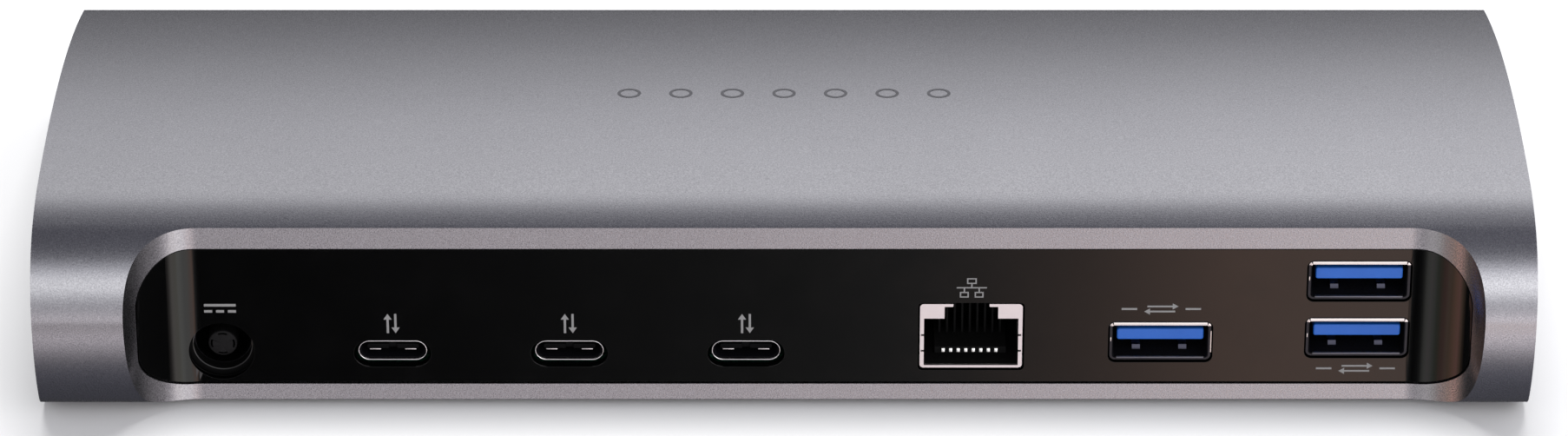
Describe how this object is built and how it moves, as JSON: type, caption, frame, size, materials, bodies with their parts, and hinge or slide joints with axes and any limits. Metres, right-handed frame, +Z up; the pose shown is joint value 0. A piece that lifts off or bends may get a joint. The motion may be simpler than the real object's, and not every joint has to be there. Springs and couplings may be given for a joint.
{
  "type": "laptop docking station",
  "caption": "Slim aluminium desktop dock with an arched shell and a scooped rear recess holding a glossy panel of network, data and power sockets.",
  "frame": {"origin": "centre of the overall footprint, at the underside of the feet", "axes": "+X along the long side, to the right when looking at the rear sockets; +Y from the rear sockets towards the power button side; +Z up"},
  "size_m": [0.192, 0.0858, 0.0282],
  "materials": {
    "shell_aluminium": "space-grey bead-blasted anodised aluminium, fine sparkle",
    "panel_gloss": "black, high gloss",
    "plate_metal": "dark satin powder coat",
    "foot_rubber": "matt",
    "socket_steel": "bright nickel-plated pressed steel",
    "socket_dark": "blackened metal",
    "screw_black": "black zinc",
    "screw_steel": "plated steel",
    "insert_plastic": "black moulded plastic",
    "tongue_black": "black moulded plastic",
    "tongue_blue": "blue moulded plastic",
    "contact_gold": "gold plated",
    "board_mask": "green solder mask on glass epoxy board",
    "chip_epoxy": "black moulded epoxy",
    "thermal_pad": "soft grey-blue silicone",
    "spreader_aluminium": "bare extruded",
    "capacitor_can": "drawn can",
    "light_clear": "frosted clear"
  },
  "bodies": {
    "dock": {"audio_jack": "insert_plastic", "board_screw_front_left": "screw_steel", "board_screw_front_right": "screw_steel", "board_screw_rear_left": "screw_steel", "board_screw_rear_right": "screw_steel", "bottom_plate": "plate_metal", "capacitor_left": "capacitor_can", "capacitor_middle": "capacitor_can", "capacitor_right": "capacitor_can", "card_slot_cage": "socket_steel", "card_slot_contacts": "contact_gold", "case_screw_front_left": "screw_black", "case_screw_front_right": "screw_black", "case_screw_rear_left": "screw_black", "case_screw_rear_right": "screw_black", "controller_chip": "chip_epoxy", "dc_jack_housing": "insert_plastic", "dc_jack_post": "socket_dark", "foot_front_left": "foot_rubber", "foot_front_right": "foot_rubber", "foot_rear_left": "foot_rubber", "foot_rear_right": "foot_rubber", "front_panel": "panel_gloss", "front_usb_a_shell": "socket_steel", "front_usb_a_tongue": "tongue_blue", "heat_spreader": "spreader_aluminium", "host_usb_c_shell": "socket_steel", "host_usb_c_tongue": "tongue_black", "housing_shell": "shell_aluminium", "hub_chip": "chip_epoxy", "light_pipe": "light_clear", "main_board": "board_mask", "network_socket_contacts": "contact_gold", "network_socket_insert": "insert_plastic", "network_socket_shield": "socket_steel", "network_transformer": "chip_epoxy", "power_inductor_left": "chip_epoxy", "power_inductor_right": "chip_epoxy", "power_switch": "socket_dark", "rear_panel": "panel_gloss", "status_led": "light_clear", "thermal_pad_controller": "thermal_pad", "thermal_pad_hub": "thermal_pad", "usb_a_single_shell": "socket_steel", "usb_a_single_tongue": "tongue_blue", "usb_a_stack_shell": "socket_steel", "usb_a_stack_tongue_lower": "tongue_blue", "usb_a_stack_tongue_upper": "tongue_blue", "usb_c_1_shell": "socket_steel", "usb_c_1_tongue": "tongue_black", "usb_c_2_shell": "socket_steel", "usb_c_2_tongue": "tongue_black", "usb_c_3_shell": "socket_steel", "usb_c_3_tongue": "tongue_black"},
    "power_button": {"power_button_cap": "panel_gloss", "power_button_plunger": "insert_plastic"}
  },
  "joints": [
    {"name": "power_button_press", "type": "slide", "parent": "dock", "child": "power_button", "axis": [0, -1, 0], "range_m": [0, 0.0005], "stiffness_N_per_m": 1500}
  ]
}
